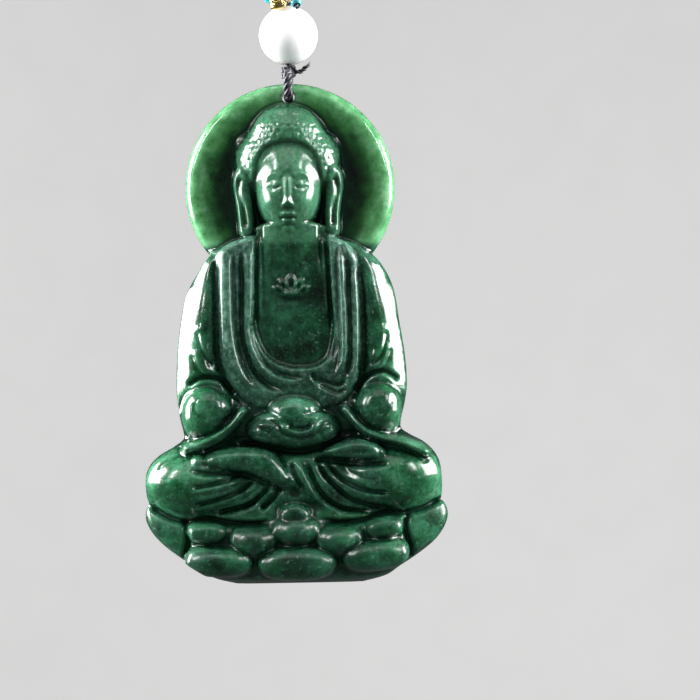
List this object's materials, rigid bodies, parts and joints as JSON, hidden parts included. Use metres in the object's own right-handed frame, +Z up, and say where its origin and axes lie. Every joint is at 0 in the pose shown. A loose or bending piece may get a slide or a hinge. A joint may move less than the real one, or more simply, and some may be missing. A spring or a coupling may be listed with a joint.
{
  "type": "jade buddha pendant",
  "caption": "Flat-backed jade pendant carved as a seated buddha before a round halo, on a lotus, hung from a black thread below a round white bead.",
  "frame": {"origin": "inside the top of the thread's upper loop, where a cord or hook carries the pendant", "axes": "+Z up along the hanging thread, -Y out of the carved front, +X to the right as seen from the front"},
  "size_m": [0.0362, 0.011, 0.0786],
  "materials": {
    "jade": "polished",
    "thread": "matte twisted",
    "white_stone": "polished",
    "gold": "polished",
    "turquoise": "polished"
  },
  "bodies": {
    "hanger": {"hanging_thread": "thread", "white_bead": "white_stone", "gold_spacer": "gold", "gold_ring": "gold", "turquoise_left": "turquoise", "turquoise_right": "turquoise"},
    "jade": {"jade_buddha": "jade"}
  },
  "joints": [
    {"name": "pendant_swing", "type": "hinge", "parent": "hanger", "child": "jade", "pos_m": [0, 0, -0.01907], "axis": [0, 1, 0], "range_deg": [-30, 30]}
  ]
}
